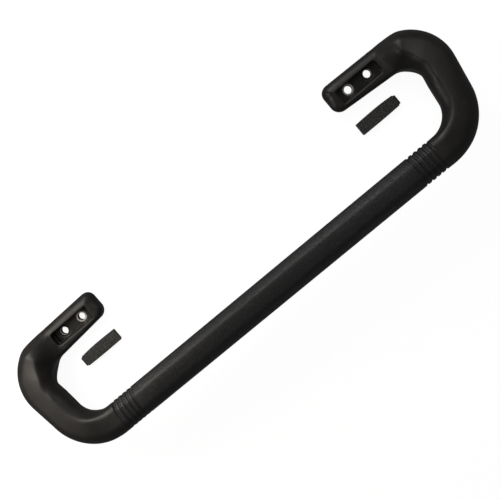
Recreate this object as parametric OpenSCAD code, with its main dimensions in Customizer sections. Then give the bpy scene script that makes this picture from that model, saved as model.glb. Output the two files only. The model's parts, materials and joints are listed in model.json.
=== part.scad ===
// Surface-mounted assist rail: a moulded grip and two elbows around a bent steel tube, with a screw-on foot
// at each end and a press-in cover for each foot's screw pocket.
// Millimetres. Z = 0 is the mounting face and +Z points away from it. The screw line runs along X at Y = 0,
// the origin is halfway between the two feet, and the grip lies on the -Y side.

/* [Rail] */
// Distance between the middles of the two feet's screw pairs
feet_spacing = 382; // [350:1:420]
// Sideways distance from the screw line to the middle of the grip
reach = 102.5; // [100:0.5:110]
// Lean of the bow away from the mounting face, in degrees
bow_tilt = 12.5; // [11:0.5:14]
// Height of the middle of the bow above the mounting face, at the screw line
bow_rise = 21; // [20.5:0.5:22]
// Outward lean of the two arms from square, in degrees
arm_lean = 12; // [8:1:14]

/* [Grip] */
// Width of the grip along the bow
grip_w = 32; // [30:0.5:34]
// Thickness of the grip across the bow
grip_t = 27; // [26:0.5:29]
// Radius of the grip's four long edges
grip_edge_r = 10; // [8:0.5:12]
// Number of grooves at each end of the grip
groove_count = 5; // [3:1:6]
// Distance from one groove to the next
groove_pitch = 5.6; // [5:0.1:6]
// Width of one groove
groove_w = 2.4; // [2:0.1:3]
// Depth of one groove
groove_depth = 1.1; // [0.6:0.1:1.5]

/* [Elbow] */
// Width of the arms along the bow
arm_w = 33.6; // [32:0.2:35]
// Thickness of the arms across the bow
arm_t = 31; // [29:0.5:33]
// Radius of the arms' edges
arm_edge_r = 12; // [10:0.5:13]
// Radius of the tube's bend between the grip and the arm
grip_bend_r = 44; // [40:1:46]
// Radius of the tube's bend between the arm and the foot
foot_bend_r = 30; // [29:0.5:31]
// Inner radius of the web that fills the corner between the arm and the foot
web_r = 11.5; // [10:0.5:12]
// Distance from the middle of a screw pair to the corner of the arm and the screw line
corner_offset = 73.4; // [72:0.2:75]

/* [Foot] */
// Height of the foot above the mounting face
foot_h = 14.5; // [14:0.5:16]
// Edge of the foot on the side away from the grip
foot_far_y = 16.5; // [16:0.5:18]
// Edge of the foot on the grip's side
foot_near_y = -15.5; // [-17:0.5:-15]
// Distance from the middle of the screw pair to the foot's tip
foot_tip_offset = 36; // [35:0.5:38]
// Radius of the foot's two tip corners, seen from the front
foot_tip_r = 10; // [8:0.5:12]

/* [Screw pocket] */
// Distance between the two screw holes of one foot
hole_pitch = 24; // [22:0.5:26]
// Bore of the screw bushes
hole_d = 8; // [6.5:0.5:8.5]
// Outer diameter of the screw bushes
bush_d = 12; // [11:0.5:12]
// Height of the pocket's floor, which is also the length of the bushes
pocket_floor = 6; // [5.5:0.5:6.5]
// Length of the pocket
pocket_l = 48.8; // [46:0.2:50]

/* [Screw cover] */
// Thickness of the cover
cover_t = 4.5; // [4:0.1:4.8]
// How far from its pocket the cover lies, towards the grip
cover_lay_out = 37.2; // [36:0.2:42]
// How far from its pocket the cover lies, towards the middle of the rail
cover_lay_in = 4; // [0:0.5:8]

/* [Core] */
// Diameter of the steel tube
tube_d = 16; // [15:0.5:16]
// Wall of the steel tube
tube_wall = 2; // [1.5:0.5:3]
// Thickness of the foot plates
plate_t = 4; // [3:0.5:4]
// Width of the foot plates
plate_w = 20; // [18:1:20]

/* [Hidden] */
$fn = 96;

// The bow's centre line, in the bow's own plane: the grip line, the arm line and the screw line meet at two
// corners, which the two bends round off.
foot_x = feet_spacing / 2;
grip_line = -reach / cos(bow_tilt);
foot_corner = [foot_x + corner_offset, 0];
grip_corner = [foot_corner.x + grip_line * tan(arm_lean), grip_line];
grip_bend = [grip_corner.x - grip_bend_r * tan(45 - arm_lean / 2), grip_line + grip_bend_r];
foot_bend = [foot_corner.x - foot_bend_r * tan(45 + arm_lean / 2), -foot_bend_r];
arm_dir = [sin(arm_lean), cos(arm_lean)];
arm_out = [cos(arm_lean), -sin(arm_lean)];
arm_start = grip_bend + grip_bend_r * arm_out;
arm_end = foot_bend + foot_bend_r * arm_out;
arm_l = norm(arm_end - arm_start);
tube_end_angle = 80;
skin_end_angle = 73;
lap = 0.4;
link_scale = 0.995;

// The web's corner sits back along the arm, tangent to the arm's inner side.
web_run = 8;
web_w = 26;
web_end_angle = 62;
web_bend = foot_bend - web_run * arm_dir + (foot_bend_r - arm_w / 2 - web_r) * arm_out;

// The grip's sleeve ends where its last groove ends, a little short of the bend.
sleeve_gap = 7.2;
seam = 0.02;
sleeve_end = grip_bend.x - sleeve_gap;
groove_start = sleeve_end - (groove_count - 1) * groove_pitch - groove_w;

// The foot's top edges are round, with the larger radius on the side away from the grip.
far_edge_r = 7;
near_edge_r = 4;
tip_edge_r = 7;
foot_end_x = foot_x + 27;
ramp_slice = 1;

// The ramp's heel is the flat under the elbow that the foot plate's end lies in.
heel_l = 20;
heel_h = 6;
heel_margin = 3;
heel_near_y = -14;
heel_far_y = 13;

// The pocket's wall on the grip's side and the cover's side next to it lean out, so that the cover wedges in.
pocket_far_y = 6.2;
pocket_near_y = -7.25;
pocket_near_top_y = -9.4;
ledge_l = 2;
cover_gap = 0.3;
cover_top = foot_h - 0.5;
cover_bottom = cover_top - cover_t;
cover_lean = 1.4;
cover_end_r = 4;

plate_z = 1;
plate_tip_gap = 7;
plate_end_x = foot_bend.x + 16;
plate_corner_r = 4;
saddle_l = 14;
saddle_w = 14;
saddle_top = bow_rise - 3;

// Place children from the bow's own plane into the rail's frame.
module in_bow_plane() {
    translate([0, 0, bow_rise])
        rotate([-bow_tilt, 0, 0])
            children();
}

// Sweep a profile around a bend, from one direction to another, both in degrees from +X.
module bow_bend(middle, radius, from, to) {
    translate(middle)
        rotate([0, 0, from])
            rotate_extrude(angle = to - from)
                translate([radius, 0])
                    children();
}

// Sweep a profile back from an end point; out is the direction of the bow's outer side there.
module bow_run(end, out, length) {
    translate(end)
        rotate([90, 0, out])
            linear_extrude(length)
                children();
}

// The same sweep, a hair thinner and reaching a little into the bends at its two ends, so that they merge.
module bow_link(end, out, length, back = lap) {
    translate(end)
        rotate([90, 0, out])
            translate([0, 0, -lap])
                linear_extrude(length + lap + back)
                    scale(link_scale)
                        children();
}

// Rounded rectangle about the origin, made of true arcs.
module rounded_bar(w, t, r) {
    square([w - 2 * r, t], center = true);
    square([w, t - 2 * r], center = true);
    for (sx = [-1, 1], sy = [-1, 1])
        translate([sx * (w / 2 - r), sy * (t / 2 - r)])
            circle(r);
}

// One arm of the tube: both bends and the straight between them.
module tube_arm() {
    bow_bend(grip_bend, grip_bend_r, -90, -arm_lean) children();
    bow_link(arm_end, -arm_lean, arm_l) children();
    bow_bend(foot_bend, foot_bend_r, -arm_lean, tube_end_angle) children();
}

module tube_line() {
    in_bow_plane() {
        bow_link([grip_bend.x, grip_line], -90, 2 * grip_bend.x) children();
        tube_arm() children();
        mirror([1, 0, 0]) tube_arm() children();
    }
}

module tube_solid() {
    tube_line() circle(d = tube_d);
}

// The foot, as the common part of its front, end and side outlines.
module foot_front() {
    difference() {
        translate([foot_x - foot_tip_offset, foot_near_y])
            square([foot_tip_offset + foot_end_x - foot_x, foot_far_y - foot_near_y]);
        for (y = [foot_near_y, foot_far_y - foot_tip_r])
            translate([foot_x - foot_tip_offset, y])
                square(foot_tip_r);
    }
    for (y = [foot_near_y + foot_tip_r, foot_far_y - foot_tip_r])
        translate([foot_x - foot_tip_offset + foot_tip_r, y])
            circle(foot_tip_r);
}

module foot_section() {
    translate([foot_near_y, 0])
        square([foot_far_y - foot_near_y, foot_h - far_edge_r]);
    translate([foot_near_y, 0])
        square([foot_far_y - foot_near_y - far_edge_r, foot_h - near_edge_r]);
    translate([foot_near_y + near_edge_r, 0])
        square([foot_far_y - foot_near_y - near_edge_r - far_edge_r, foot_h]);
    translate([foot_far_y - far_edge_r, foot_h - far_edge_r])
        circle(far_edge_r);
    translate([foot_near_y + near_edge_r, foot_h - near_edge_r])
        circle(near_edge_r);
}

module foot_side() {
    translate([foot_x - foot_tip_offset, 0])
        square([foot_tip_offset + foot_end_x - foot_x, foot_h - tip_edge_r]);
    translate([foot_x - foot_tip_offset + tip_edge_r, 0])
        square([foot_tip_offset + foot_end_x - foot_x - tip_edge_r, foot_h]);
    translate([foot_x - foot_tip_offset + tip_edge_r, foot_h - tip_edge_r])
        circle(tip_edge_r);
}

module foot_block() {
    intersection() {
        linear_extrude(foot_h) foot_front();
        rotate([90, 0, 90]) linear_extrude(foot_end_x) foot_section();
        translate([0, foot_far_y, 0]) rotate([90, 0, 0]) linear_extrude(foot_far_y - foot_near_y) foot_side();
    }
}

// The elbow's skin along the bow, with the web in its inner corner.
module bow_skin() {
    bow_link([grip_bend.x, grip_line], -90, grip_bend.x - sleeve_end, 0)
        rounded_bar(arm_w, arm_t, arm_edge_r);
    bow_bend(grip_bend, grip_bend_r, -90, -arm_lean)
        rounded_bar(arm_w, arm_t, arm_edge_r);
    bow_link(arm_end, -arm_lean, arm_l)
        rounded_bar(arm_w, arm_t, arm_edge_r);
    bow_bend(foot_bend, foot_bend_r, -arm_lean, skin_end_angle)
        rounded_bar(arm_w, arm_t, arm_edge_r);
    bow_bend(web_bend, web_r + web_w / 2, -arm_lean, web_end_angle)
        rounded_bar(web_w, arm_t, arm_edge_r);
}

// The ramp that brings the thick elbow down to the thin foot.
module ramp() {
    far_end = foot_bend + (foot_bend_r + arm_w / 2) * [cos(skin_end_angle), sin(skin_end_angle)];
    near_end = web_bend + web_r * [cos(web_end_angle), sin(web_end_angle)];
    across = far_end - near_end;
    hull() {
        in_bow_plane()
            translate((far_end + near_end) / 2)
                rotate([90, 0, atan2(across.y, across.x)])
                    linear_extrude(ramp_slice)
                        rounded_bar(norm(across), arm_t, arm_edge_r, $fn = 32);
        translate([foot_end_x - 2 * ramp_slice, 0, 0])
            rotate([90, 0, 90])
                linear_extrude(ramp_slice)
                    foot_section($fn = 32);
        translate([plate_end_x - heel_l, heel_near_y, 0])
            cube([heel_l + heel_margin, heel_far_y - heel_near_y, heel_h]);
    }
}

// Room for the cover: a leaning wall on the grip's side and a ledge at each end.
module pocket() {
    pocket_x = foot_x - pocket_l / 2;
    translate([pocket_x, 0, 0])
        rotate([90, 0, 90])
            linear_extrude(pocket_l)
                polygon([
                    [pocket_near_y, cover_bottom],
                    [pocket_far_y, cover_bottom],
                    [pocket_far_y, foot_h + 1],
                    [pocket_near_top_y - 0.43, foot_h + 1],
                    [pocket_near_top_y, foot_h]
                ]);
    translate([pocket_x + ledge_l, pocket_near_y, pocket_floor])
        cube([pocket_l - 2 * ledge_l, pocket_far_y - pocket_near_y, cover_bottom - pocket_floor + 0.01]);
}

module bush_spots() {
    for (side = [-1, 1])
        translate([foot_x + side * hole_pitch / 2, 0, 0])
            children();
}

module plate_and_saddle() {
    tip_x = foot_x - foot_tip_offset + plate_tip_gap;
    translate([0, 0, plate_z])
        linear_extrude(plate_t)
            translate([(tip_x + plate_end_x) / 2, 0])
                rounded_bar(plate_end_x - tip_x, plate_w, plate_corner_r);
    translate([plate_end_x - saddle_l - 2, -saddle_w / 2 - 1, plate_z + plate_t])
        cube([saddle_l, saddle_w, saddle_top - plate_z - plate_t]);
}

module foot_plate() {
    color([0.55, 0.56, 0.58])
        difference() {
            plate_and_saddle();
            tube_solid();
            bush_spots() cylinder(h = pocket_floor, d = bush_d);
        }
}

module elbow() {
    color([0.11, 0.11, 0.11])
        difference() {
            union() {
                in_bow_plane() bow_skin();
                ramp();
                foot_block();
            }
            tube_solid();
            plate_and_saddle();
            pocket();
            bush_spots() cylinder(h = foot_h, d = bush_d);
        }
}

module bush(side) {
    color([0.62, 0.63, 0.65])
        translate([foot_x + side * hole_pitch / 2, 0, 0])
            difference() {
                cylinder(h = pocket_floor, d = bush_d);
                translate([0, 0, -1]) cylinder(h = pocket_floor + 2, d = hole_d);
            }
}

// The cover, drawn in its pocket.
module fitted_cover() {
    cover_x = foot_x - pocket_l / 2 + cover_gap;
    cover_l = pocket_l - 2 * cover_gap;
    intersection() {
        translate([cover_x, 0, 0])
            rotate([90, 0, 90])
                linear_extrude(cover_l)
                    polygon([
                        [pocket_near_y + cover_gap, cover_bottom],
                        [pocket_far_y - cover_gap, cover_bottom],
                        [pocket_far_y - cover_gap, cover_top],
                        [pocket_near_y + cover_gap - cover_lean, cover_top]
                    ]);
        translate([cover_x, pocket_near_top_y, cover_bottom])
            linear_extrude(cover_t)
                cover_front(cover_l, pocket_far_y - cover_gap - pocket_near_top_y);
    }
}

// Front outline of the cover: its end next to the elbow has round corners.
module cover_front(l, w) {
    square([l - cover_end_r, w]);
    translate([0, cover_end_r]) square([l, w - 2 * cover_end_r]);
    for (y = [cover_end_r, w - cover_end_r])
        translate([l - cover_end_r, y])
            circle(cover_end_r);
}

// The cover as it lies beside its foot, on the mounting face.
module screw_cover() {
    color([0.2, 0.2, 0.2])
        translate([-cover_lay_in, -cover_lay_out, -cover_bottom])
            fitted_cover();
}

module core_tube() {
    color([0.5, 0.51, 0.53])
        difference() {
            tube_solid();
            tube_line() circle(d = tube_d - 2 * tube_wall);
        }
}

module grip_sleeve() {
    ring_l = groove_pitch - groove_w;
    color([0.09, 0.09, 0.09])
        difference() {
            in_bow_plane() {
                bow_run([sleeve_end - seam, grip_line], -90, 2 * (sleeve_end - seam))
                    rounded_bar(grip_w - 2 * groove_depth, grip_t - 2 * groove_depth, grip_edge_r - groove_depth);
                bow_run([groove_start, grip_line], -90, 2 * groove_start)
                    rounded_bar(grip_w, grip_t, grip_edge_r);
                for (side = [0, 1], i = [1 : groove_count - 1])
                    mirror([side, 0, 0])
                        bow_run([groove_start + i * groove_pitch, grip_line], -90, ring_l)
                            rounded_bar(grip_w, grip_t, grip_edge_r);
            }
            tube_solid();
        }
}

module right_foot_plate() foot_plate();
module left_foot_plate() mirror([1, 0, 0]) foot_plate();
module right_elbow() elbow();
module left_elbow() mirror([1, 0, 0]) elbow();
module right_inner_bush() bush(-1);
module right_outer_bush() bush(1);
module left_inner_bush() mirror([1, 0, 0]) bush(-1);
module left_outer_bush() mirror([1, 0, 0]) bush(1);
module right_screw_cover() screw_cover();
module left_screw_cover() mirror([1, 0, 0]) screw_cover();

core_tube();
left_foot_plate();
right_foot_plate();
grip_sleeve();
left_elbow();
right_elbow();
left_inner_bush();
left_outer_bush();
right_inner_bush();
right_outer_bush();
left_screw_cover();
right_screw_cover();
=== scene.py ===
import json
import math

import bpy
import numpy as np
from mathutils import Matrix, Vector


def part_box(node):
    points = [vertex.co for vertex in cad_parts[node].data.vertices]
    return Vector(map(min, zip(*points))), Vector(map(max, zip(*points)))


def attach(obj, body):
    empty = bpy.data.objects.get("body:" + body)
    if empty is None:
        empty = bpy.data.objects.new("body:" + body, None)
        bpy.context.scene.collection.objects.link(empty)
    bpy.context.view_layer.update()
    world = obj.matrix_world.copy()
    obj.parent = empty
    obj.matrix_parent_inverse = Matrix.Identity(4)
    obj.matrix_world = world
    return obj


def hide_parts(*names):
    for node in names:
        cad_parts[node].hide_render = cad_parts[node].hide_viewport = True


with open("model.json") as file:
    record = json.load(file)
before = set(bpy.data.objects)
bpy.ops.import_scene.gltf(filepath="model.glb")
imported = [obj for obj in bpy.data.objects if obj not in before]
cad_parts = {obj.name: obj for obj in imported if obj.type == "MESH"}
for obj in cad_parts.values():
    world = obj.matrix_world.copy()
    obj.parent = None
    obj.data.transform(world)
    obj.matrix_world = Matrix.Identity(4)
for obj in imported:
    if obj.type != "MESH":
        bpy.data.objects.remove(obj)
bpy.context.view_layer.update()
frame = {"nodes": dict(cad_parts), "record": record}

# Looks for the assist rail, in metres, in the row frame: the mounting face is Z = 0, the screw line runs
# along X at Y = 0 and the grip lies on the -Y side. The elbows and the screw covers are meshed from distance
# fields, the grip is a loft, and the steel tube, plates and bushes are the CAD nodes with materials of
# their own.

MM = 0.001

# Places that the frame gives: the screw holes, the ends of the grip's sleeve and the middle of the grip.
mounts = {m["name"]: m for m in frame["record"]["mounts"]}
INNER_HOLES = mounts["inner_screws"]["dims"]["spacing_x_mm"] * MM
OUTER_HOLES = mounts["outer_screws"]["dims"]["spacing_x_mm"] * MM
FOOT_X = (INNER_HOLES + OUTER_HOLES) / 4
HOLE_PITCH = (OUTER_HOLES - INNER_HOLES) / 2
SLEEVE_LOW, SLEEVE_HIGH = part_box("grip_sleeve")
SLEEVE_END = SLEEVE_HIGH.x
GRIP_MIDDLE = (SLEEVE_LOW + SLEEVE_HIGH) / 2

# The bow lies in a plane that leans away from the mounting face and meets the screw line BOW_RISE above it.
BOW_RISE = 21 * MM
TILT = math.atan2(GRIP_MIDDLE.z - BOW_RISE, -GRIP_MIDDLE.y)
GRIP_LINE = GRIP_MIDDLE.y / math.cos(TILT)
# In that plane each arm leans outwards, and the corner between its line and the foot's is at CORNER_X.
ARM_LEAN = math.radians(12)
CORNER_X = FOOT_X + 73.4 * MM
GRIP_BEND_R = 44 * MM
FOOT_BEND_R = 30 * MM
# The tube stops this far round the foot's bend, counted from the bow's widest point.
TUBE_TURN = math.radians(80)
TUBE_R = 8 * MM

# From the middle between the screws to either end of the cover's pocket, and to the foot's tip.
POCKET_HALF_L = 24.4 * MM
FOOT_TIP_L = 36 * MM


# ---------------------------------------------------------------- small helpers

def rise(value, start, end):
    """Smooth step from 0 at start to 1 at end."""
    t = np.clip((value - start) / (end - start), 0, 1)
    return t * t * (3 - 2 * t)


def blend(a, b, share):
    """a where share is 0, b where it is 1."""
    return a + (b - a) * share


def smooth_min(a, b, width):
    """Union of two distance fields with a soft fillet."""
    t = np.clip(0.5 + 0.5 * (b - a) / width, 0, 1)
    return b + (a - b) * t - width * t * (1 - t)


def smooth_max(a, b, width):
    """Intersection of two distance fields with a soft edge."""
    return -smooth_min(-a, -b, width)


def round_max(a, b, radius):
    """Intersection of two distance fields whose edge has a true radius."""
    qa = a + radius
    qb = b + radius
    return np.minimum(np.maximum(qa, qb), 0) + np.hypot(np.maximum(qa, 0), np.maximum(qb, 0)) - radius


SHARP_ANGLE = math.radians(38)


def make_object(name, vertices, faces, material):
    """Mesh object with smooth shading that breaks at sharp edges."""
    mesh = bpy.data.meshes.new(name)
    mesh.from_pydata(np.asarray(vertices, float).tolist(), [], np.asarray(faces).tolist())
    mesh.validate()
    mesh.shade_smooth()
    mesh.set_sharp_from_angle(angle=SHARP_ANGLE)
    mesh.materials.append(material)
    item = bpy.data.objects.new(name, mesh)
    bpy.context.scene.collection.objects.link(item)
    return item


# ---------------------------------------------------------------- the bow's centre line

GRIP_BEND = np.array([
    CORNER_X + GRIP_LINE * math.tan(ARM_LEAN) - GRIP_BEND_R * math.tan(math.pi / 4 - ARM_LEAN / 2),
    GRIP_LINE + GRIP_BEND_R,
])
FOOT_BEND = np.array([CORNER_X - FOOT_BEND_R * math.tan(math.pi / 4 + ARM_LEAN / 2), -FOOT_BEND_R])
ARM_DIR = np.array([math.sin(ARM_LEAN), math.cos(ARM_LEAN)])
ARM_OUT = np.array([math.cos(ARM_LEAN), -math.sin(ARM_LEAN)])
ARM_START = GRIP_BEND + GRIP_BEND_R * ARM_OUT
ARM_LENGTH = float(np.dot(FOOT_BEND + FOOT_BEND_R * ARM_OUT - ARM_START, ARM_DIR))
# Path lengths from the sleeve's end to the start of each bend, and along the foot to its tip.
AT_BEND = GRIP_BEND[0] - SLEEVE_END
AT_ARM = AT_BEND + GRIP_BEND_R * (math.pi / 2 - ARM_LEAN)
AT_FOOT_BEND = AT_ARM + ARM_LENGTH
AT_FOOT = AT_FOOT_BEND + FOOT_BEND_R * (math.pi / 2 + ARM_LEAN)
AT_TUBE_END = AT_FOOT_BEND + FOOT_BEND_R * (TUBE_TURN + ARM_LEAN)
AT_SCREWS = AT_FOOT + FOOT_BEND[0] - FOOT_X
AT_POCKET = AT_SCREWS - POCKET_HALF_L
AT_TIP = AT_SCREWS + FOOT_TIP_L


def bow_coordinates(p, lean):
    """For each point: path length from the sleeve towards the foot's tip, outward offset and height.

    They are measured in the bow's plane if lean is its tilt, or level with the mounting face if lean is 0.
    """
    x = p[..., 0]
    dz = p[..., 2] - BOW_RISE
    v = p[..., 1] * math.cos(lean) - dz * math.sin(lean)
    height = p[..., 1] * math.sin(lean) + dz * math.cos(lean)

    path = x - SLEEVE_END
    offset = GRIP_LINE - v
    best = np.where(path <= AT_BEND, np.abs(offset), np.inf)

    def take(candidate_path, candidate_offset, valid):
        nonlocal path, offset, best
        nearer = valid & (np.abs(candidate_offset) < best)
        path = np.where(nearer, candidate_path, path)
        offset = np.where(nearer, candidate_offset, offset)
        best = np.where(nearer, np.abs(candidate_offset), best)

    for middle, radius, start, end, at in (
        (GRIP_BEND, GRIP_BEND_R, -math.pi / 2, -ARM_LEAN, AT_BEND),
        (FOOT_BEND, FOOT_BEND_R, -ARM_LEAN, math.pi / 2, AT_FOOT_BEND),
    ):
        dx = x - middle[0]
        dv = v - middle[1]
        angle = np.arctan2(dv, dx)
        take(at + radius * (angle - start), np.hypot(dx, dv) - radius, (angle >= start) & (angle <= end))

    dx = x - ARM_START[0]
    dv = v - ARM_START[1]
    along = dx * ARM_DIR[0] + dv * ARM_DIR[1]
    out = dx * ARM_OUT[0] + dv * ARM_OUT[1]
    take(AT_ARM + along, out, (along >= 0) & (along <= ARM_LENGTH))
    take(AT_FOOT + FOOT_BEND[0] - x, v, x < FOOT_BEND[0])
    return path, offset, height


# The inner corner between the arm and the foot is filled by a web of radius WEB_R. The elbow's cross lines
# fan out there from WEB_MIDDLE, inside the C: a circle of radius FAN_R about it touches both sides of
# WEB_CORNER.
WEB_R = 19 * MM
FAN_R = 25 * MM
HALF_CORNER = math.pi / 4 - ARM_LEAN / 2
WEB_CORNER = np.array([242 * MM, -19.5 * MM])
INTO_CORNER = np.array([math.cos(HALF_CORNER), math.sin(HALF_CORNER)])
WEB_MIDDLE = WEB_CORNER - FAN_R / math.sin(HALF_CORNER) * INTO_CORNER
WEB_FROM = AT_ARM + float(np.dot(WEB_MIDDLE - ARM_START, ARM_DIR))
WEB_TO = AT_FOOT + FOOT_BEND[0] - WEB_MIDDLE[0]


def fair_path(path, x, v):
    """Path length whose cross lines fan out from the web's middle, so they don't crowd in the corner."""
    angle = np.arctan2(v - WEB_MIDDLE[1], x - WEB_MIDDLE[0])
    share = np.clip((angle + ARM_LEAN) / (math.pi / 2 + ARM_LEAN), 0, 1)
    fanned = WEB_FROM + (WEB_TO - WEB_FROM) * share
    fanned = np.where(x < WEB_MIDDLE[0], AT_FOOT + FOOT_BEND[0] - x, fanned)
    return np.where(path > WEB_FROM, fanned, path)


# ---------------------------------------------------------------- the elbow as a distance field

GRIP_HALF_W = 16 * MM
GRIP_HALF_T = 13.5 * MM
ARM_HALF_W = 17 * MM
ARM_HALF_T = 15.5 * MM
# The section swells from the grip's to the arm's over this length.
SWELL_L = 38 * MM
FOOT_H = 14.5 * MM
FOOT_TIP_R = 9.5 * MM
SLEEVE_EDGE_R = 1.0 * MM

# Plan: how far the outer side, the inner side and the crest move as the path goes from the grip to the tip.
OUTER_WAIST = 1.8 * MM
WAIST_TURN = math.radians(75)
OUTER_TAPER = 0.031
INNER_SWELL = 0.8 * MM
INNER_ARM = 0.9 * MM
INNER_WEB = 7.8 * MM
INNER_FOOT = 7.2 * MM
INNER_TAPER = 0.07
CREST_AT_GRIP = -11 * MM
CREST_TO_ARM = 5.2 * MM
CREST_TO_WEB = -5.5 * MM
CREST_TO_FOOT = 17.3 * MM
# The inner side's straight lines along the arm and along the foot, which the web's radius joins.
ARM_INNER = 17.9 * MM
FOOT_INNER_Y = -13.6 * MM
FOOT_INNER_X = 162 * MM
FOOT_INNER_SLOPE = 0.08

# Height: how far the top drops from the crest to either side, first at the grip and then by the swell.
OUTER_DROP = 0.6 * MM
OUTER_DROP_SWELL = 5.4 * MM
INNER_DROP = 0.3 * MM
INNER_DROP_SWELL = 3.2 * MM
# Along the arm the inner shoulder is higher and its edge crisper.
ARM_LIFT = 1.2 * MM
UNDER_HOLLOW = 1.5 * MM
RAMP_SLOPE = 0.25

# Edge radii, and what the swell, the arm and the foot add to or take from them.
EDGE_R = 10 * MM
OUTER_EDGE_SWELL = 2 * MM
INNER_EDGE_SWELL = 1 * MM
OUTER_EDGE_FOOT = 1.5 * MM
INNER_EDGE_ARM = 1.5 * MM
INNER_EDGE_FOOT = 7 * MM
TIP_EDGE = 2 * MM
LANDED_EDGE_R = 0.8 * MM


def plan_profile(path, swell):
    """Outer side, inner side and crest as distances from the bow's line; the inner one counts inwards."""
    at_waist = AT_FOOT_BEND + FOOT_BEND_R * WAIST_TURN
    along_foot = np.maximum(0, path - AT_FOOT)
    outer = (blend(GRIP_HALF_W, ARM_HALF_W, swell) - OUTER_WAIST * rise(path, at_waist, AT_FOOT)
             + OUTER_TAPER * along_foot)
    inner = (GRIP_HALF_W + INNER_SWELL * swell
             + INNER_ARM * rise(path, AT_ARM - 7 * MM, AT_ARM + 18 * MM)
             + INNER_WEB * rise(path, AT_FOOT_BEND - 16 * MM, AT_FOOT_BEND + 32 * MM)
             - INNER_FOOT * rise(path, AT_FOOT - 5 * MM, AT_FOOT + 17 * MM)
             - INNER_TAPER * along_foot)
    crest = (CREST_AT_GRIP + CREST_TO_ARM * rise(path, 5 * MM, AT_ARM)
             + CREST_TO_WEB * rise(path, AT_ARM + 3 * MM, AT_FOOT_BEND + 6 * MM)
             + CREST_TO_FOOT * rise(path, AT_FOOT_BEND + 18 * MM, AT_POCKET))
    return outer, inner, crest


def inner_side(path, offset, x, v, inner):
    """Distance past the inner side: the profile along the grip and arm, the web's arc from there on."""
    from_arm = (x - ARM_START[0]) * ARM_OUT[0] + (v - ARM_START[1]) * ARM_OUT[1] + ARM_INNER
    from_foot = v - FOOT_INNER_Y + FOOT_INNER_SLOPE * (x - FOOT_INNER_X)
    at_web = min(WEB_FROM, AT_FOOT_BEND - 14 * MM)
    return np.where(path > at_web, -round_max(from_arm, from_foot, WEB_R), -inner - offset)


def body_field(p):
    """Elbow and foot as one sweep: a crest runs from the grip's shoulder round to the pocket's far edge."""
    path, offset, height = bow_coordinates(p, TILT)
    _, flat_offset, flat_height = bow_coordinates(p, 0.0)
    x = p[..., 0]
    v = p[..., 1] * math.cos(TILT) - (p[..., 2] - BOW_RISE) * math.sin(TILT)
    # Along the arm the section turns upright, so that web and foot stand square on the mounting face.
    upright = rise(path, AT_ARM + 2 * MM, AT_FOOT_BEND)
    v = blend(v, p[..., 1], upright)
    offset = blend(offset, flat_offset, upright)
    path = fair_path(path, x, v)
    upper_height = blend(height, flat_height, rise(path, AT_FOOT_BEND + 20 * MM, AT_FOOT))

    swell = rise(path, 0, SWELL_L)
    fall = rise(path, AT_TUBE_END - 7 * MM, AT_POCKET)
    inner_fall = rise(path, AT_FOOT_BEND + 3 * MM, AT_TUBE_END)
    on_arm = (rise(path, AT_ARM - 28 * MM, AT_ARM)
              - rise(path, AT_FOOT_BEND - 22 * MM, AT_FOOT_BEND + 14 * MM))
    outer, inner, crest = plan_profile(path, swell)

    foot_top = FOOT_H - BOW_RISE
    half_t = blend(GRIP_HALF_T, ARM_HALF_T, swell)
    crest_top = blend(half_t, foot_top, fall)
    inner_drop = INNER_DROP + INNER_DROP_SWELL * swell - ARM_LIFT * on_arm
    inner_top = blend(half_t - inner_drop, foot_top, inner_fall)
    outer_drop = (OUTER_DROP + OUTER_DROP_SWELL * swell) * (1 - rise(path, AT_TUBE_END - 2 * MM, AT_POCKET))
    to_outer = np.clip((offset - crest) / (outer - crest), 0, 1)
    to_inner = rise(crest - offset, 0, inner + crest)
    top = crest_top - outer_drop * to_outer ** 2 - np.maximum(crest_top - inner_top, 0) * to_inner

    outer_r = EDGE_R + OUTER_EDGE_SWELL * swell - OUTER_EDGE_FOOT * fall
    inner_r = EDGE_R + INNER_EDGE_SWELL * swell - INNER_EDGE_ARM * on_arm - INNER_EDGE_FOOT * inner_fall
    edge = blend(inner_r, outer_r, rise(offset, -7 * MM, 7 * MM))
    tip_edge = edge + TIP_EDGE * rise(path, AT_TIP - 20 * MM, AT_TIP)
    landed = rise(path, AT_FOOT_BEND + 3 * MM, AT_FOOT_BEND + 34 * MM)
    under = -half_t + UNDER_HOLLOW * swell * (offset / ARM_HALF_W) ** 2 - height

    sides = np.maximum(offset - outer, inner_side(path, offset, x, v, inner))
    plan = round_max(sides, path - AT_TIP, FOOT_TIP_R)
    # The ramp down to the pocket is steep, and its height overstates the distance to it.
    on_ramp = (rise(path, AT_TUBE_END - 22 * MM, AT_TUBE_END)
               * (1 - rise(path, AT_POCKET - 4 * MM, AT_POCKET)))
    d = round_max(plan, (upper_height - top) * (1 - RAMP_SLOPE * on_ramp), tip_edge)
    d = round_max(d, blend(under, -p[..., 2], landed), blend(edge, LANDED_EDGE_R, landed))
    return round_max(d, -path, SLEEVE_EDGE_R)


POCKET_FAR_Y = 6.2 * MM
POCKET_NEAR_Y = -7.25 * MM
POCKET_LEAN = 2.15 / 5
POCKET_FLOOR = 6 * MM
POCKET_CORNER_R = 1.0 * MM
ELBOW_END_CORNER_R = 3.2 * MM
LEDGE_Z = 9.5 * MM
LEDGE_L = 2 * MM
RIM_SOFTNESS = 0.8 * MM
BUSH_R = 6 * MM
SEAT_SOFTNESS = 0.3 * MM


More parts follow.
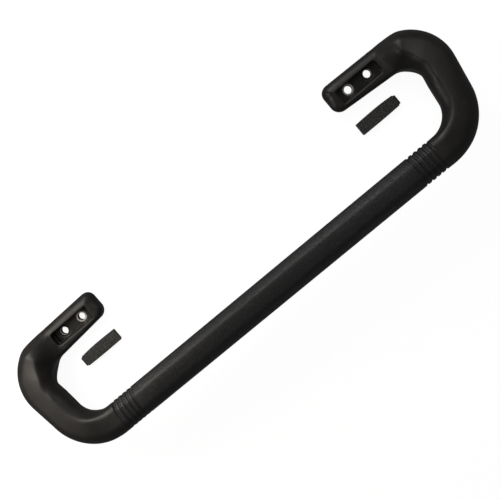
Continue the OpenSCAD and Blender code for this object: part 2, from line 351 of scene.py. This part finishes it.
def pocket_field(p):
    """Room for the cover, with a leaning wall on the grip's side and a ledge at each end."""
    x = p[..., 0] - FOOT_X
    y = p[..., 1]
    z = p[..., 2]
    ends = np.abs(x) - POCKET_HALF_L
    near = POCKET_NEAR_Y - POCKET_LEAN * np.maximum(0, z - LEDGE_Z)
    sides = np.maximum(y - POCKET_FAR_Y, near - y)
    corner = blend(POCKET_CORNER_R, ELBOW_END_CORNER_R, rise(x, 10 * MM, 14 * MM))
    upper = np.maximum(round_max(ends, sides, corner), LEDGE_Z - z)
    lower = np.maximum(round_max(ends + LEDGE_L, sides, POCKET_CORNER_R), POCKET_FLOOR - z)
    return np.minimum(upper, lower)


def elbow_field(p):
    """The whole right elbow: body, pocket, bush holes and the tube's bore."""
    d = smooth_max(body_field(p), -pocket_field(p), RIM_SOFTNESS)
    hole_x = np.abs(p[..., 0] - FOOT_X) - HOLE_PITCH / 2
    d = smooth_max(d, BUSH_R - np.hypot(hole_x, p[..., 1]), SEAT_SOFTNESS)
    path, offset, height = bow_coordinates(p, TILT)
    bore = np.maximum(np.hypot(offset, height) - TUBE_R, path - AT_TUBE_END)
    return np.maximum(d, -bore)


# ---------------------------------------------------------------- from a distance field to a mesh

# Grid steps, and the margins round the nodes' boxes.
ELBOW_STEP = 0.8 * MM
ELBOW_MARGIN = 2 * MM
COVER_STEP = 0.4 * MM
COVER_MARGIN = 1 * MM
# How the vertices are pulled onto the level: the distance for slopes, the passes, and the least slope used.
PROBE = 0.05 * MM
PULLS = 4
LEAST_SLOPE = 0.2


def surface_net(field, low, high, step):
    """Quads on the zero level of a distance field inside a box, each vertex pulled onto the level."""
    counts = [int(math.ceil((b - a) / step)) + 1 for a, b in zip(low, high)]
    axes = [a + step * np.arange(n) for a, n in zip(low, counts)]
    values = np.empty(counts, np.float32)
    for i, x in enumerate(axes[0]):
        sheet = np.stack(np.meshgrid([x], axes[1], axes[2], indexing="ij"), -1)
        values[i] = field(sheet)[0]
    inside = values < 0
    cells = [n - 1 for n in counts]
    stride = np.array([cells[1] * cells[2], cells[2], 1])
    total = np.zeros((cells[0] * cells[1] * cells[2], 3))
    hits = np.zeros(len(total))
    quads = []
    for axis in range(3):
        others = [k for k in range(3) if k != axis]
        before = [slice(None)] * 3
        after = [slice(None)] * 3
        before[axis] = slice(None, -1)
        after[axis] = slice(1, None)
        crossing = np.argwhere(inside[tuple(before)] != inside[tuple(after)])
        next_one = crossing.copy()
        next_one[:, axis] += 1
        a = values[tuple(crossing.T)]
        b = values[tuple(next_one.T)]
        point = crossing.astype(float)
        point[:, axis] += a / (a - b)
        around = []
        for shift in ((0, 0), (-1, 0), (-1, -1), (0, -1)):
            cell = crossing.copy()
            cell[:, others[0]] += shift[0]
            cell[:, others[1]] += shift[1]
            index = cell @ stride
            around.append(index)
            for k in range(3):
                total[:, k] += np.bincount(index, weights=point[:, k], minlength=len(total))
            hits += np.bincount(index, minlength=len(total))
        quad = np.stack(around, -1)
        flip = (a < 0) == (axis == 1)
        quad[flip] = quad[flip][:, ::-1]
        quads.append(quad)
    used = np.flatnonzero(hits)
    number = np.full(len(total), -1)
    number[used] = np.arange(len(used))
    points = low + step * total[used] / hits[used, None]
    for _ in range(PULLS):
        slope = np.stack([
            (field(points + PROBE * e) - field(points - PROBE * e)) / (2 * PROBE) for e in np.eye(3)
        ], -1)
        pull = field(points)[:, None] * slope / np.maximum((slope ** 2).sum(-1, keepdims=True), LEAST_SLOPE)
        points = points - np.clip(pull, -step / 2, step / 2)
    return points, number[np.concatenate(quads)]


def mirrored_net(field, node, margin, step):
    """Surface net of a right-hand node's field and its mirror image, as (hand, points, quads)."""
    low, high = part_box(node)
    points, quads = surface_net(field, np.array(low) - margin, np.array(high) + margin, step)
    return (("right", points, quads), ("left", points * np.array([-1, 1, 1]), quads[:, ::-1]))


def build_elbows(material):
    """Right elbow from its field, left elbow as its mirror image."""
    for hand, points, quads in mirrored_net(elbow_field, "right_elbow", ELBOW_MARGIN, ELBOW_STEP):
        skin = make_object(hand + "_elbow_skin", points, quads, material)
        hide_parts(hand + "_elbow")
        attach(skin, "rail")


# ---------------------------------------------------------------- the grip's sleeve

GROOVE_COUNT = 5
GROOVE_PITCH = 5.6 * MM
GROOVE_W = 2.4 * MM
GROOVE_DEPTH = 1.1 * MM
GROOVE_LIP_R = 0.55 * MM
GROOVE_CORNER = 0.25 * MM
GROOVE_BED = 0.6 * MM
GRIP_EDGE_R = 10 * MM
GRIP_CROWN = 0.25 * MM
# The far upper shoulder is a flatter, lower curve than the other three.
SHOULDER_H = 7 * MM
SHOULDER_FLATNESS = 1.75
QUARTER_STEPS = 14
LIP_STEPS = 4
MIDDLE_STATIONS = 12


def grip_outline(inset):
    """Rounded section with lightly crowned faces, as (outward, height) points; inset shrinks it."""
    points = []
    half_w = GRIP_HALF_W - inset
    half_t = GRIP_HALF_T - inset
    radius = GRIP_EDGE_R - inset
    flat = half_w - radius
    for quarter, (sx, sy) in enumerate(((1, 1), (-1, 1), (-1, -1), (1, -1))):
        drop, flatness = (SHOULDER_H - inset, SHOULDER_FLATNESS) if quarter == 1 else (radius, 1)
        for k in range(QUARTER_STEPS + 1):
            angle = math.pi / 2 * (quarter + k / QUARTER_STEPS)
            points.append((sx * (flat + radius * abs(math.cos(angle)) ** flatness),
                           sy * (half_t - drop + drop * abs(math.sin(angle)) ** flatness)))
        if quarter % 2 == 0:
            for k in (0.6, 0.2, -0.2, -0.6):
                points.append((sx * flat * k, sy * (half_t + GRIP_CROWN * (1 - k * k))))
    return np.array(points)


def groove_lip(edge, side):
    """Stations round a groove's lip at edge, from the face down; side is 1 where the groove follows."""
    stations = []
    for k in range(LIP_STEPS + 1):
        bend = math.pi / 2 * k / LIP_STEPS
        out = side * GROOVE_LIP_R * (1 - math.sin(bend))
        stations.append((edge - out, GROOVE_LIP_R * (1 - math.cos(bend))))
    return stations


def grip_stations():
    """(position from the middle, inset) along one half of the sleeve, with soft groove edges."""
    start = SLEEVE_END - (GROOVE_COUNT - 1) * GROOVE_PITCH - GROOVE_W
    stations = [(start * k / MIDDLE_STATIONS, 0.0) for k in range(MIDDLE_STATIONS)]
    for i in range(GROOVE_COUNT):
        near = start + i * GROOVE_PITCH
        far = near + GROOVE_W
        stations += groove_lip(near, 1)
        stations.append((near + GROOVE_CORNER, GROOVE_DEPTH - GROOVE_CORNER))
        stations.append((near + GROOVE_BED, GROOVE_DEPTH))
        if i < GROOVE_COUNT - 1:
            stations.append((far - GROOVE_BED, GROOVE_DEPTH))
            stations.append((far - GROOVE_CORNER, GROOVE_DEPTH - GROOVE_CORNER))
            stations += reversed(groove_lip(far, -1))
        else:
            stations.append((far, GROOVE_DEPTH))
    return stations


def grip_ring(x, section):
    """Points of a section of the grip at x, turned from the bow's plane into the frame."""
    v = GRIP_LINE - section[:, 0]
    height = section[:, 1]
    y = v * math.cos(TILT) + height * math.sin(TILT)
    z = BOW_RISE - v * math.sin(TILT) + height * math.cos(TILT)
    return np.stack([np.full(len(section), x), y, z], -1)


def build_grip(material):
    """Loft of the grip's section along X, closed by ring faces around the tube's bore."""
    half = grip_stations()
    stations = [(-x, inset) for x, inset in reversed(half[1:])] + half
    outline = grip_outline(0)
    turn = np.arctan2(outline[:, 1], outline[:, 0])
    bore = TUBE_R * np.stack([np.cos(turn), np.sin(turn)], -1)
    rings = [grip_ring(-SLEEVE_END, bore)]
    rings += [grip_ring(x, grip_outline(inset)) for x, inset in stations]
    rings.append(grip_ring(SLEEVE_END, bore))
    count = len(outline)
    faces = []
    for r in range(len(rings)):
        here = r * count
        ahead = (r + 1) % len(rings) * count
        for k in range(count):
            beside = (k + 1) % count
            faces.append((here + k, ahead + k, ahead + beside, here + beside))
    sleeve = make_object("grip_skin", np.concatenate(rings), faces, material)
    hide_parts("grip_sleeve")
    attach(sleeve, "rail")


# ---------------------------------------------------------------- the screw covers

COVER_EDGE_R = 0.6 * MM
COVER_END_R = 1.0 * MM
COVER_CROWN = 0.25 * MM
COVER_LEAN = 1.4 * MM
# The lip is the lower, narrower end of the strip.
COVER_LIP_L = 2.2 * MM
COVER_LIP_INSET = 0.9 * MM
COVER_LIP_DROP = 1.6 * MM
# The far side curves in by this much at the elbow's end, and less at the tip's end and on the near side.
COVER_TAPER = 1.4 * MM
TIP_TAPER = COVER_TAPER / 3
NEAR_SHARE = 0.4


def cover_field(p):
    """The right cover beside its foot: a strip with one leaning side and a lip at its elbow end."""
    low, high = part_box("right_screw_cover")
    x = p[..., 0]
    y = p[..., 1]
    z = p[..., 2]
    lip_x = high.x - COVER_LIP_L
    along = (2 * x - low.x - high.x) / (high.x - low.x)
    across = (2 * y - low.y - high.y) / (high.y - low.y)
    taper = np.where(along > 0, COVER_TAPER, TIP_TAPER) * along ** 2
    taper = taper + COVER_LIP_INSET * rise(x, lip_x - 0.4 * MM, lip_x)
    near = low.y + COVER_LEAN * (high.z - z) / (high.z - low.z) + NEAR_SHARE * taper
    sides = np.maximum(y - high.y + taper, near - y)
    plan = round_max(low.x - x, sides, COVER_EDGE_R)
    plan = round_max(plan, x - high.x, COVER_END_R)
    step_down = COVER_LIP_DROP * rise(x, lip_x - 0.5 * MM, lip_x + 0.1 * MM)
    top = z - (high.z - COVER_CROWN * across ** 2 - step_down)
    d = round_max(plan, top, COVER_EDGE_R)
    return round_max(d, low.z - z, COVER_EDGE_R)


def build_covers(material):
    """Both covers, each riding on its own body."""
    for hand, points, quads in mirrored_net(cover_field, "right_screw_cover", COVER_MARGIN, COVER_STEP):
        strip = make_object(hand + "_cover_strip", points, quads, material)
        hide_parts(hand + "_screw_cover")
        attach(strip, hand + "_cover")


# ---------------------------------------------------------------- materials

class Shader:
    """A material with one Principled shader and short calls for the nodes that feed it."""

    def __init__(self, name):
        self.material = bpy.data.materials.new(name)
        self.material.use_nodes = True
        tree = self.material.node_tree
        self.nodes = tree.nodes
        self.links = tree.links
        self.nodes.clear()
        output = self.nodes.new("ShaderNodeOutputMaterial")
        self.main = self.nodes.new("ShaderNodeBsdfPrincipled")
        self.links.new(self.main.outputs["BSDF"], output.inputs["Surface"])
        self.place = self.nodes.new("ShaderNodeTexCoord").outputs["Object"]

    def put(self, socket, value):
        """Feeds a socket from another node's output, or sets it to a plain value."""
        if isinstance(value, bpy.types.NodeSocket):
            self.links.new(value, socket)
        else:
            socket.default_value = value

    def noise(self, size, detail, stretch=(1, 1, 1)):
        """Noise whose blotches measure about size, longer along an axis whose stretch is below 1."""
        node = self.nodes.new("ShaderNodeTexNoise")
        node.inputs["Scale"].default_value = 1 / size
        node.inputs["Detail"].default_value = detail
        self.put(node.inputs["Vector"], self.stretched(stretch))
        return node.outputs["Fac"]

    def cells(self, size):
        """Distance to the edges of cells of about size."""
        node = self.nodes.new("ShaderNodeTexVoronoi")
        node.feature = "DISTANCE_TO_EDGE"
        node.inputs["Scale"].default_value = 1 / size
        self.put(node.inputs["Vector"], self.place)
        return node.outputs["Distance"]

    def stretched(self, factors):
        """Object coordinates times a factor for each axis."""
        node = self.nodes.new("ShaderNodeMapping")
        node.inputs["Scale"].default_value = factors
        self.put(node.inputs["Vector"], self.place)
        return node.outputs["Vector"]

    def span(self, value, low, high, to_low=0.0, to_high=1.0):
        """Maps value from low..high to to_low..to_high, clamped."""
        node = self.nodes.new("ShaderNodeMapRange")
        self.put(node.inputs["Value"], value)
        for name, number in (("From Min", low), ("From Max", high), ("To Min", to_low), ("To Max", to_high)):
            node.inputs[name].default_value = number
        return node.outputs["Result"]

    def math(self, operation, a, b=0.0):
        """One step of arithmetic; b is left out for operations on one value."""
        node = self.nodes.new("ShaderNodeMath")
        node.operation = operation
        self.put(node.inputs[0], a)
        self.put(node.inputs[1], b)
        return node.outputs["Value"]

    def mix(self, amount, a, b):
        """Colour a where amount is 0, colour b where it is 1."""
        node = self.nodes.new("ShaderNodeMix")
        node.data_type = "RGBA"
        self.put(node.inputs["Factor"], amount)
        for socket, value in zip([s for s in node.inputs if s.type == "RGBA"], (a, b)):
            self.put(socket, value if isinstance(value, bpy.types.NodeSocket) else (*value, 1))
        return next(s for s in node.outputs if s.type == "RGBA")

    def split(self, vector):
        """X, Y and Z of a vector."""
        node = self.nodes.new("ShaderNodeSeparateXYZ")
        self.put(node.inputs["Vector"], vector)
        return node.outputs["X"], node.outputs["Y"], node.outputs["Z"]

    def surface(self, output):
        """One output of the Geometry node, such as Normal or Pointiness."""
        return self.nodes.new("ShaderNodeNewGeometry").outputs[output]

    def bump(self, height, distance, strength, under=None):
        """Bump of a given depth, on top of another bump if one is given."""
        node = self.nodes.new("ShaderNodeBump")
        node.inputs["Distance"].default_value = distance
        node.inputs["Strength"].default_value = strength
        self.put(node.inputs["Height"], height)
        if under is not None:
            self.put(node.inputs["Normal"], under)
        return node.outputs["Normal"]

    def edges(self):
        """1 on convex edges, 0 elsewhere."""
        return self.span(self.surface("Pointiness"), 0.52, 0.60)

    def finish(self, color, roughness, normal, metallic=0.0, specular=0.5):
        """Feeds the Principled shader and gives the material."""
        self.put(self.main.inputs["Base Color"], color)
        self.put(self.main.inputs["Roughness"], roughness)
        self.put(self.main.inputs["Metallic"], metallic)
        self.put(self.main.inputs["Specular IOR Level"], specular)
        self.put(self.main.inputs["Normal"], normal)
        return self.material


# Colours of the moulded skin, of the covers and of the steel.
BLACK = (0.009, 0.0088, 0.0088)
GREY_BLACK = (0.024, 0.0245, 0.025)
WARM_BLACK = (0.020, 0.0165, 0.0140)
DUSTY = (0.042, 0.034, 0.028)
WORN = (0.050, 0.046, 0.042)
COVER_DARK = (0.034, 0.034, 0.033)
COVER_LIGHT = (0.110, 0.108, 0.104)
COVER_SHADE = (0.055, 0.050, 0.046)
TUBE_STEEL = (0.42, 0.43, 0.45)
PLATE_STEEL = (0.46, 0.47, 0.48)
PLATING = (0.020, 0.019, 0.018)
# Bare steel colour of the bushes' rims: partly wear, partly a painted glint.
GLINT_BARE_STEEL = (0.78, 0.75, 0.70)
STAIN = 0.55


def grip_material():
    """Black moulded skin with a leather grain, a little shinier where hands rub it."""
    m = Shader("grip_leather")
    rubbed = m.span(m.noise(45 * MM, 3), 0.35, 0.7)
    speckle = m.span(m.noise(2.4 * MM, 4), 0.38, 0.66)
    grain = m.cells(1.6 * MM)
    crease = m.span(grain, 0.0, 0.22)
    color = m.mix(m.math("MULTIPLY", speckle, 0.8), BLACK, GREY_BLACK)
    color = m.mix(m.math("MULTIPLY", m.edges(), 0.5), color, WORN)
    roughness = m.math("ADD", m.span(rubbed, 0, 1, 0.36, 0.30), m.span(speckle, 0, 1, 0.12, 0.0))
    normal = m.bump(m.noise(4 * MM, 3), 0.12 * MM, 0.4)
    normal = m.bump(m.noise(0.8 * MM, 3), 0.06 * MM, 0.5, normal)
    normal = m.bump(crease, 0.10 * MM, 0.7, normal)
    return m.finish(color, roughness, normal)


def elbow_material():
    """The same skin, smoother, with a fine matte texture and faint brownish dust."""
    m = Shader("elbow_skin_matte")
    dust = m.span(m.noise(26 * MM, 7), 0.40, 0.70)
    mottled = m.span(m.noise(9 * MM, 5), 0.35, 0.75)
    speckle = m.span(m.noise(1.8 * MM, 4), 0.36, 0.68)
    color = m.mix(m.math("MULTIPLY", mottled, 0.5), BLACK, WARM_BLACK)
    color = m.mix(m.math("MULTIPLY", dust, 0.30), color, DUSTY)
    color = m.mix(m.math("MULTIPLY", speckle, 0.25), color, DUSTY)
    color = m.mix(m.math("MULTIPLY", m.edges(), 0.45), color, WORN)
    roughness = m.math("ADD", m.span(dust, 0, 1, 0.40, 0.54), m.span(speckle, 0, 1, -0.04, 0.05))
    normal = m.bump(m.noise(6 * MM, 3), 0.12 * MM, 0.45)
    normal = m.bump(m.noise(1.0 * MM, 3), 0.06 * MM, 0.5, normal)
    return m.finish(color, roughness, normal)


def cover_material():
    """Dark grey strip with a fine stipple."""
    m = Shader("cover_stipple")
    speck = m.span(m.noise(0.8 * MM, 2), 0.42, 0.62)
    shade = m.span(m.noise(12 * MM, 4), 0.3, 0.7)
    color = m.mix(speck, COVER_DARK, COVER_LIGHT)
    color = m.mix(m.math("MULTIPLY", shade, 0.3), color, COVER_SHADE)
    normal = m.bump(speck, 0.12 * MM, 0.8)
    return m.finish(color, m.span(speck, 0, 1, 0.75, 0.6), normal, specular=0.4)


def steel_material(name, tone, stretch, roughness):
    """Steel with a drawn or rolled direction and darker stains."""
    m = Shader(name)
    lines = m.noise(0.6 * MM, 3, stretch)
    stains = m.span(m.noise(14 * MM, 5), 0.4, 0.75)
    color = m.mix(m.math("MULTIPLY", stains, 0.4), tone, tuple(STAIN * c for c in tone))
    rough = m.span(lines, 0.3, 0.7, roughness - 0.06, roughness + 0.08)
    rough = m.math("ADD", rough, m.math("MULTIPLY", stains, 0.1))
    return m.finish(color, rough, m.bump(lines, 0.02 * MM, 0.5), metallic=1.0)


def bush_material(name, glint_reach):
    """Dark plated bush with a bright ring of bare steel on its upper face round the bore, out to the radius
    given; the ring is partly wear and partly a painted glint.
    """
    m = Shader(name)
    x, y, _ = m.split(m.place)
    from_foot = m.math("ABSOLUTE", m.math("SUBTRACT", m.math("ABSOLUTE", x), FOOT_X))
    from_hole = m.math("SUBTRACT", from_foot, HOLE_PITCH / 2)
    radius = m.math("SQRT", m.math("ADD", m.math("POWER", from_hole, 2.0), m.math("POWER", y, 2.0)))
    ragged = m.math("ADD", radius, m.span(m.noise(1.5 * MM, 4), 0.3, 0.7, -0.3 * MM, 0.3 * MM))
    _, _, facing_up = m.split(m.surface("Normal"))
    on_top = m.span(facing_up, 0.3, 0.7)
    # Painted glint and wear: bare steel on the upward faces near the bore.
    wear_and_glint = m.math("MULTIPLY", on_top, m.span(ragged, glint_reach, glint_reach + 0.5 * MM, 1.0, 0.0))
    color = m.mix(wear_and_glint, PLATING, GLINT_BARE_STEEL)
    normal = m.bump(m.noise(0.4 * MM, 3), 0.02 * MM, 0.5)
    return m.finish(color, m.span(wear_and_glint, 0, 1, 0.55, 0.45), normal, metallic=0.8)


# ---------------------------------------------------------------- stage

FLOOR_TONE = (0.24, 0.24, 0.24, 1)
FLOOR_GLOW = 0.94
FLOOR_HALF = 6.0
FLOOR_GAP = 0.5 * MM


def build_floor():
    """Plain pale floor, mostly self-lit so that its shadows stay faint."""
    m = Shader("floor_pale")
    for socket, value in (("Base Color", FLOOR_TONE), ("Roughness", 0.9), ("Specular IOR Level", 0.0),
                          ("Emission Color", (1, 1, 1, 1)), ("Emission Strength", FLOOR_GLOW)):
        m.put(m.main.inputs[socket], value)
    corners = [(x * FLOOR_HALF, y * FLOOR_HALF, 0) for x, y in ((-1, -1), (1, -1), (1, 1), (-1, 1))]
    floor = make_object("floor", corners, [(0, 1, 2, 3)], m.material)
    floor.location.z = -FLOOR_GAP
    floor.visible_glossy = False
    floor.visible_diffuse = False


PALE = (1.0, 0.99, 0.98)
WARM = (1.0, 0.94, 0.85)
ROOM_GLOW = 0.11
ROOM_SEEN = 0.8
# Each light's name, the point it faces, azimuth and elevation in degrees, distance, size, power, colour.
LIGHTS = (
    ("far_side_light", (0, -0.06, 0.02), 90, 25, 1.3, 0.6, 3.9, PALE),
    ("far_high_light", (0.12, -0.06, 0.02), 88, 60, 1.3, 0.3, 0.35, PALE),
    ("left_bend_light", (-0.26, -0.03, 0.02), 105, 42, 0.26, 0.2, 0.5, WARM),
    ("left_arm_light", (-0.26, -0.05, 0.02), 165, 42, 0.26, 0.2, 0.08, WARM),
    ("right_bend_light", (0.26, -0.02, 0.02), 80, 45, 0.4, 0.3, 0.25, PALE),
    ("near_side_light", (0, -0.06, 0.02), -85, 12, 1.3, 0.8, 0.4, PALE),
)


def area_light(name, aim, azimuth, elevation, distance, size, power, color):
    """Square soft light that faces aim; azimuth is measured from +X towards +Y."""
    data = bpy.data.lights.new(name, "AREA")
    data.shape = "SQUARE"
    data.size = size
    data.energy = power
    data.color = color
    light = bpy.data.objects.new(name, data)
    a = math.radians(azimuth)
    e = math.radians(elevation)
    back = Vector((math.cos(a) * math.cos(e), math.sin(a) * math.cos(e), math.sin(e)))
    light.location = Vector(aim) + back * distance
    light.rotation_mode = "QUATERNION"
    light.rotation_quaternion = back.to_track_quat("Z", "Y")
    bpy.context.scene.collection.objects.link(light)


def build_lights():
    """Soft lights from the far side, small ones near the elbows, a weak near fill and a dim pale room."""
    for light in LIGHTS:
        area_light(*light)
    world = bpy.data.worlds.new("pale_room")
    world.use_nodes = True
    tree = world.node_tree
    background = tree.nodes["Background"]
    background.inputs["Color"].default_value = (1, 1, 1, 1)
    seen = tree.nodes.new("ShaderNodeLightPath").outputs["Is Camera Ray"]
    strength = tree.nodes.new("ShaderNodeMapRange")
    strength.inputs["To Min"].default_value = ROOM_GLOW
    strength.inputs["To Max"].default_value = ROOM_SEEN
    tree.links.new(seen, strength.inputs["Value"])
    tree.links.new(strength.outputs["Result"], background.inputs["Strength"])
    bpy.context.scene.world = world
    bpy.context.scene.view_settings.view_transform = "Standard"


# Where the camera stands, the point it looks at, and the direction that is to the right in the picture.
CAMERA_AT = Vector((83.25, -15.63, 744.87)) * MM
CAMERA_AIM = Vector((2.84, -58.95, 20.6)) * MM
CAMERA_RIGHT = Vector((0.7628, -0.6450, -0.0461))
CAMERA_LENS = 52.45
CAMERA_SENSOR = 36


def build_camera():
    """Camera above the rail, turned so that the right elbow is at the picture's top right."""
    data = bpy.data.cameras.new("camera")
    data.lens = CAMERA_LENS
    data.sensor_width = CAMERA_SENSOR
    data.clip_start = 10 * MM
    camera = bpy.data.objects.new("camera", data)
    back = (CAMERA_AT - CAMERA_AIM).normalized()
    right = (CAMERA_RIGHT - back * CAMERA_RIGHT.dot(back)).normalized()
    up = back.cross(right)
    turn = Matrix((right, up, back)).transposed().to_4x4()
    camera.matrix_world = Matrix.Translation(CAMERA_AT) @ turn
    bpy.context.scene.collection.objects.link(camera)
    bpy.context.scene.camera = camera


def paint(node, material):
    """Gives a CAD node its material."""
    mesh = frame["nodes"][node].data
    mesh.materials.clear()
    mesh.materials.append(material)


build_elbows(elbow_material())
build_grip(grip_material())
build_covers(cover_material())
paint("core_tube", steel_material("tube_steel_drawn", TUBE_STEEL, (0.05, 1, 1), 0.34))
plate_steel = steel_material("plate_steel_rolled", PLATE_STEEL, (0.08, 1, 1), 0.4)
# The near-tip bushes get a wider painted glint ring than the near-bend ones, which stand as if in shade.
bush_steel = {
    "inner": bush_material("bush_steel_wide_glint", 5.3 * MM),
    "outer": bush_material("bush_steel_narrow_glint", 4.2 * MM),
}
for hand in ("left", "right"):
    paint(hand + "_foot_plate", plate_steel)
    for place in ("inner", "outer"):
        paint(f"{hand}_{place}_bush", bush_steel[place])
build_floor()
build_lights()
build_camera()
